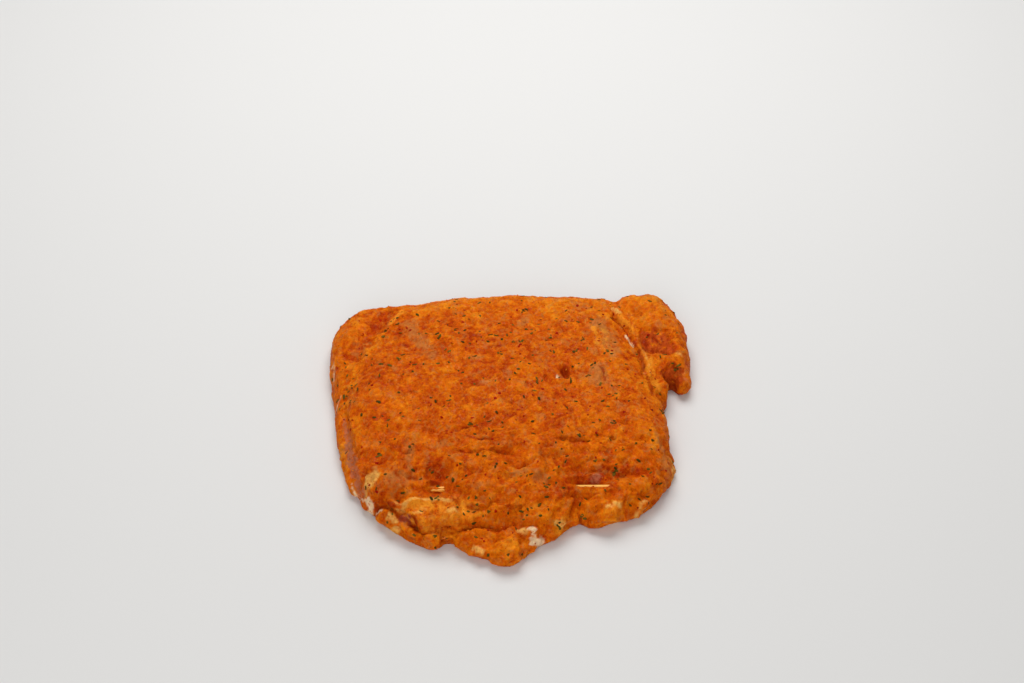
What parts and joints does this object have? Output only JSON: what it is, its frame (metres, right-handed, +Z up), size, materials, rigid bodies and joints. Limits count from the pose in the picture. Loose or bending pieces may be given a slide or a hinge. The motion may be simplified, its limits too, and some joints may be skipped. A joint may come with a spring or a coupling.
{
  "type": "raw chicken cordon bleu",
  "caption": "Raw marinated chicken cordon bleu: a folded slab of boned chicken in orange herb marinade, pinned shut along its front edge by a wooden stick.",
  "frame": {"origin": "middle of the resting face's bounding box, on the surface that the meat lies on", "axes": "+Z up; -Y towards the pinned front edge; +X towards the side with the rolled end"},
  "size_m": [0.1406, 0.1424, 0.0182],
  "materials": {
    "marinated_meat": "wet orange marinade with green herbs over raw chicken and fat",
    "stick_wood": "pale wood, stained by the marinade"
  },
  "bodies": {
    "root": {"chicken": "marinated_meat", "stick": "stick_wood"}
  },
  "joints": []
}
